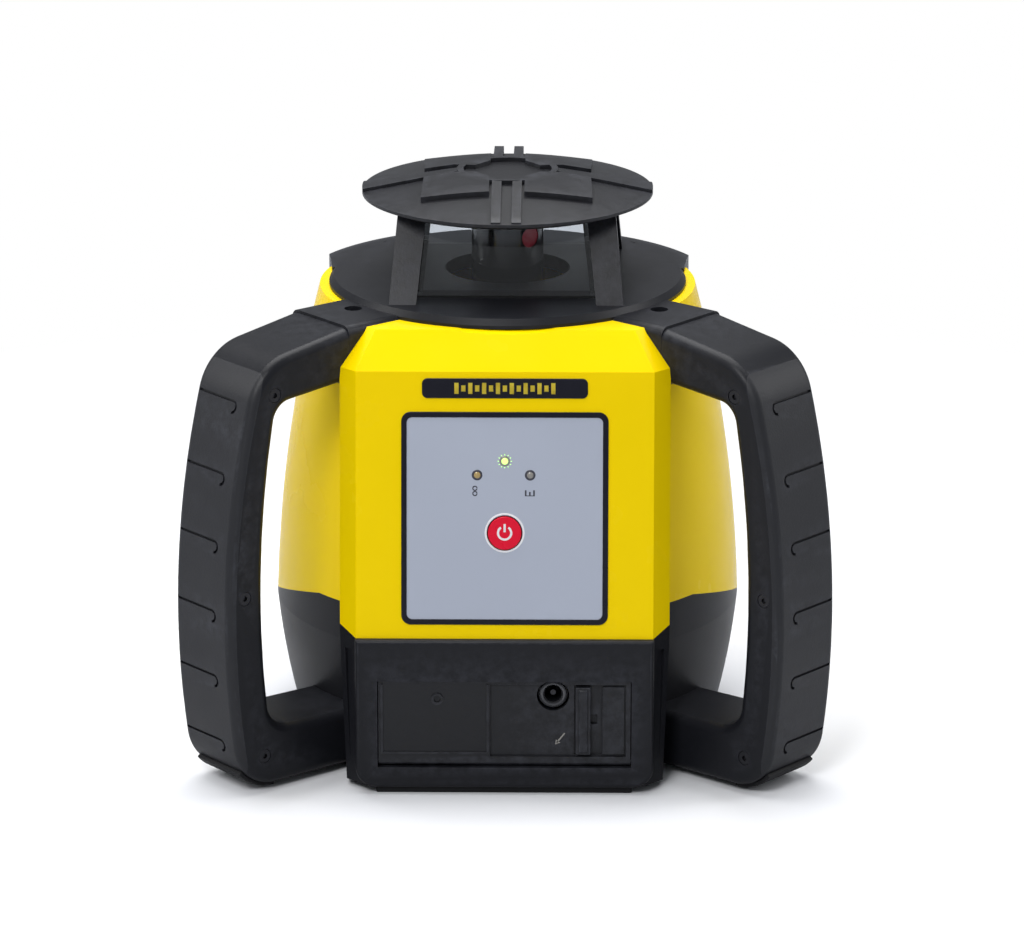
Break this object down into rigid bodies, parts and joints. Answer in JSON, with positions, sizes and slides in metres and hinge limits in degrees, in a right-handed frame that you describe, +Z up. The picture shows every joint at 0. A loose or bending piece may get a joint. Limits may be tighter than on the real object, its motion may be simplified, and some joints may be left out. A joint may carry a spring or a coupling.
{
  "type": "rotary laser level",
  "caption": "Self-levelling rotary laser in a yellow and black case: glazed lantern with spinning head, side carrying handles, battery door and tripod thread.",
  "frame": {"origin": "on the floor, at the mouth of the tripod thread, under the rotor axis", "axes": "+Z up along the rotor axis, -Y out of the control panel (front), +X to the viewer's right when facing the panel"},
  "size_m": [0.239, 0.1909, 0.212],
  "materials": {
    "yellow_shell": "gloss",
    "black_shell": "satin, fine grain",
    "black_trim": "satin",
    "grip_rubber": "soft matt",
    "foot_rubber": "matt",
    "seal_rubber": "matt",
    "panel_grey": "satin film",
    "panel_black": "gloss",
    "red_button": "gloss",
    "light_lens": "clear",
    "window_glass": "clear",
    "head_black": "gloss",
    "aperture_red": "tinted",
    "steel": "machined",
    "dark_screw": "blackened",
    "brass": "machined",
    "aluminium": "machined",
    "board_green": "solder mask",
    "cell_sleeve": "printed sleeve without text",
    "optic_glass": "polished",
    "inner_plastic": "moulded"
  },
  "bodies": {
    "casing": {"lower_housing": "black_shell", "bay_frame": "black_shell", "upper_housing": "yellow_shell", "housing_gasket": "seal_rubber", "top_cover": "black_shell", "top_cover_gasket": "seal_rubber", "top_cover_screws": "dark_screw", "window_panes": "window_glass", "top_cap": "black_trim", "handle_frame_left": "black_shell", "handle_frame_right": "black_shell", "handle_grip_left": "grip_rubber", "handle_grip_right": "grip_rubber", "handle_screws": "dark_screw", "handle_feet": "foot_rubber", "control_panel": "panel_grey", "panel_frame": "panel_black", "name_plate": "panel_black", "status_lights": "light_lens", "button_switch": "inner_plastic", "panel_board": "board_green", "board_screws": "steel", "door_hinge_pin": "dark_screw", "battery_tray": "inner_plastic", "battery_cells": "cell_sleeve", "battery_contacts": "brass", "charging_jack": "black_trim", "jack_pin": "dark_screw", "foot_plate": "foot_rubber", "tripod_insert": "brass", "chassis": "aluminium", "chassis_screws": "steel", "main_board": "board_green", "levelling_motors": "steel"},
    "gimbal": {"gimbal_ring": "aluminium", "ring_pins": "steel", "frame_pins": "steel", "lever_pin_front": "steel"},
    "optics": {"optic_frame": "aluminium", "laser_module": "brass", "collimator_lens": "optic_glass", "rotor_bearings": "steel", "rotor_motor": "steel", "drive_belt": "seal_rubber", "lever_pin_side": "steel"},
    "rotor": {"rotor_shaft": "steel", "rotor_pulley": "inner_plastic", "rotor_head": "head_black", "aperture_window": "aperture_red", "rotor_prism": "optic_glass"},
    "motor_shaft": {"motor_pulley": "brass"},
    "front_screw": {"lead_screw_front": "steel"},
    "side_screw": {"lead_screw_side": "steel"},
    "front_nut": {"levelling_nut_front": "inner_plastic"},
    "side_nut": {"levelling_nut_side": "inner_plastic"},
    "door": {"battery_door": "black_trim"},
    "latch": {"door_latch": "black_trim"},
    "button": {"power_button": "red_button"}
  },
  "joints": [
    {"name": "gimbal_pitch", "type": "hinge", "parent": "casing", "child": "gimbal", "pos_m": [0, 0, 0.12], "axis": [1, 0, 0], "range_deg": [-5, 5]},
    {"name": "gimbal_roll", "type": "hinge", "parent": "gimbal", "child": "optics", "pos_m": [0, 0, 0.12], "axis": [0, 1, 0], "range_deg": [-5, 5]},
    {"name": "rotor_spin", "type": "hinge", "parent": "optics", "child": "rotor", "pos_m": [0, 0, 0.189], "axis": [0, 0, 1], "continuous": true},
    {"name": "motor_spin", "type": "hinge", "parent": "optics", "child": "motor_shaft", "pos_m": [0, 0.026, 0.161], "axis": [0, 0, 1], "continuous": true},
    {"name": "front_nut_slide", "type": "slide", "parent": "casing", "child": "front_nut", "axis": [0, 0, 1], "range_m": [-0.0052, 0.0052]},
    {"name": "side_nut_slide", "type": "slide", "parent": "casing", "child": "side_nut", "axis": [0, 0, 1], "range_m": [-0.0052, 0.0052]},
    {"name": "front_screw_turn", "type": "hinge", "parent": "casing", "child": "front_screw", "pos_m": [0, -0.058, 0.08], "axis": [0, 0, 1], "range_deg": [-470, 470]},
    {"name": "side_screw_turn", "type": "hinge", "parent": "casing", "child": "side_screw", "pos_m": [-0.058, 0, 0.08], "axis": [0, 0, 1], "range_deg": [-470, 470]},
    {"name": "door_hinge", "type": "hinge", "parent": "casing", "child": "door", "pos_m": [0, -0.0936, 0.0126], "axis": [1, 0, 0], "range_deg": [0, 90]},
    {"name": "latch_slide", "type": "slide", "parent": "door", "child": "latch", "axis": [1, 0, 0], "range_m": [0, 0.0025]},
    {"name": "button_press", "type": "slide", "parent": "casing", "child": "button", "axis": [0, 0.9861, -0.1661], "range_m": [0, 0.0006], "stiffness_N_per_m": 1500}
  ],
  "couplings": [
    {"joint": "motor_spin", "follows": "rotor_spin", "ratio": 2.2},
    {"joint": "front_nut_slide", "follows": "gimbal_pitch", "m_per_rad": -0.058},
    {"joint": "front_screw_turn", "follows": "gimbal_pitch", "ratio": 91.106},
    {"joint": "side_nut_slide", "follows": "gimbal_roll", "m_per_rad": 0.058},
    {"joint": "side_screw_turn", "follows": "gimbal_roll", "ratio": 91.106}
  ]
}
